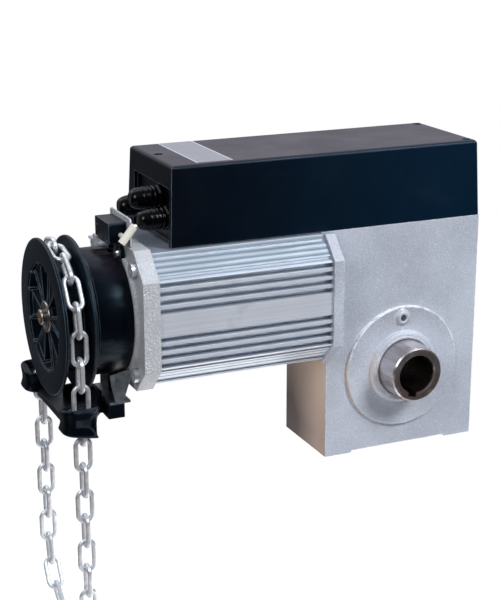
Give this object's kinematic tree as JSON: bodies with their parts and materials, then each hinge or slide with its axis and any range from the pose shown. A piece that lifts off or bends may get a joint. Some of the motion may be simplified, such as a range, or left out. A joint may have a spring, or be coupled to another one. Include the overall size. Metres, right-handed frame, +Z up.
{
  "type": "sectional door drive motor",
  "caption": "Finned electric motor on a worm gearbox with a hollow keyed output shaft, control cover on top and an emergency hand chain at the motor's end.",
  "frame": {"origin": "centre of the output bore, halfway along the gearbox's depth", "axes": "+X along the motor's axis from the hand chain towards the gearbox, -Y the way the output shaft's long nose points, +Z up towards the control cover"},
  "size_m": [0.2985, 0.1102, 0.3122],
  "materials": {
    "cast_paint": "satin",
    "extruded_aluminium": "satin",
    "black_plastic": "satin",
    "gloss_black_plastic": "gloss",
    "machined_steel": "machined",
    "zinc_steel": "zinc plated",
    "bronze": "machined",
    "copper_enamel": "gloss",
    "laminated_steel": "satin",
    "black_rubber": "matte",
    "silver_label": "satin",
    "green_board": "satin",
    "light_plastic": "satin",
    "red_plastic": "satin"
  },
  "bodies": {
    "frame": {"gearbox_housing": "cast_paint", "front_bearing_cover": "cast_paint", "oil_level_plug": "zinc_steel", "output_bearing_outer_rings": "zinc_steel", "output_bearing_balls": "zinc_steel", "output_shaft_seals": "black_rubber", "rotor_bearing_outer_rings": "zinc_steel", "rotor_bearing_balls": "zinc_steel", "rotor_shaft_seal": "black_rubber", "motor_housing": "extruded_aluminium", "stator_core": "laminated_steel", "stator_windings": "copper_enamel", "end_shield": "cast_paint", "tie_bolts": "zinc_steel", "hand_drive_housing": "black_plastic", "hand_drive_screws": "zinc_steel", "hand_drive_bush": "bronze", "chain_guide": "black_plastic", "guide_bracket": "zinc_steel", "guide_screws": "zinc_steel", "hand_chain_upper": "zinc_steel", "interlock_switch_body": "black_plastic", "interlock_switch_bracket": "zinc_steel", "interlock_switch_screws": "zinc_steel", "interlock_switch_lead": "light_plastic", "control_cover": "black_plastic", "cover_screws": "zinc_steel", "blank_label": "silver_label", "base_plate": "black_plastic", "base_plate_screws": "zinc_steel", "gland_plate": "black_plastic", "gland_bodies": "gloss_black_plastic", "gland_caps": "gloss_black_plastic", "gland_seals": "black_rubber", "gland_locknuts": "gloss_black_plastic", "terminal_board": "green_board", "terminal_blocks": "light_plastic", "limit_gear_unit": "light_plastic", "limit_switches": "black_plastic"},
    "rotor": {"worm_shaft": "machined_steel", "rotor_core": "laminated_steel", "rotor_end_rings": "extruded_aluminium", "rotor_bearing_inner_rings": "zinc_steel", "rotor_clutch_hub": "machined_steel"},
    "output": {"output_shaft": "machined_steel", "worm_wheel": "bronze", "worm_wheel_key": "machined_steel", "output_bearing_inner_rings": "zinc_steel"},
    "hand_wheel": {"chain_wheel": "black_plastic", "wheel_washer": "zinc_steel", "wheel_bolt": "zinc_steel", "hand_drive_shaft": "machined_steel"},
    "clutch": {"clutch_disc": "machined_steel", "clutch_lining": "black_rubber"},
    "chain_loop": {"hand_chain_lower": "zinc_steel"},
    "switch_plunger": {"interlock_switch_plunger": "red_plastic"},
    "limit_cam_shaft": {"limit_camshaft": "zinc_steel", "limit_cams": "red_plastic"}
  },
  "joints": [
    {"name": "rotor_spin", "type": "hinge", "parent": "frame", "child": "rotor", "pos_m": [0, 0, 0.056], "axis": [1, 0, 0], "continuous": true},
    {"name": "output_spin", "type": "hinge", "parent": "frame", "child": "output", "pos_m": [0, 0, 0], "axis": [0, 1, 0], "continuous": true},
    {"name": "limit_cam_spin", "type": "hinge", "parent": "frame", "child": "limit_cam_shaft", "pos_m": [0, 0, 0.118], "axis": [1, 0, 0], "continuous": true},
    {"name": "hand_wheel_spin", "type": "hinge", "parent": "frame", "child": "hand_wheel", "pos_m": [-0.2285, 0, 0.056], "axis": [1, 0, 0], "continuous": true},
    {"name": "clutch_slide", "type": "slide", "parent": "hand_wheel", "child": "clutch", "axis": [1, 0, 0], "range_m": [0, 0.003], "stiffness_N_per_m": 400, "springref_m": -0.003},
    {"name": "chain_loop_swing", "type": "hinge", "parent": "frame", "child": "chain_loop", "pos_m": [-0.2285, 0, -0.012], "axis": [0, 1, 0], "range_deg": [-10, 10]},
    {"name": "switch_press", "type": "slide", "parent": "frame", "child": "switch_plunger", "axis": [0, 0, 1], "range_m": [0, 0.0012], "stiffness_N_per_m": 300, "springref_m": -0.002}
  ],
  "couplings": [
    {"joint": "output_spin", "follows": "rotor_spin", "ratio": -0.025641},
    {"joint": "limit_cam_spin", "follows": "rotor_spin", "ratio": 0.00064103}
  ]
}
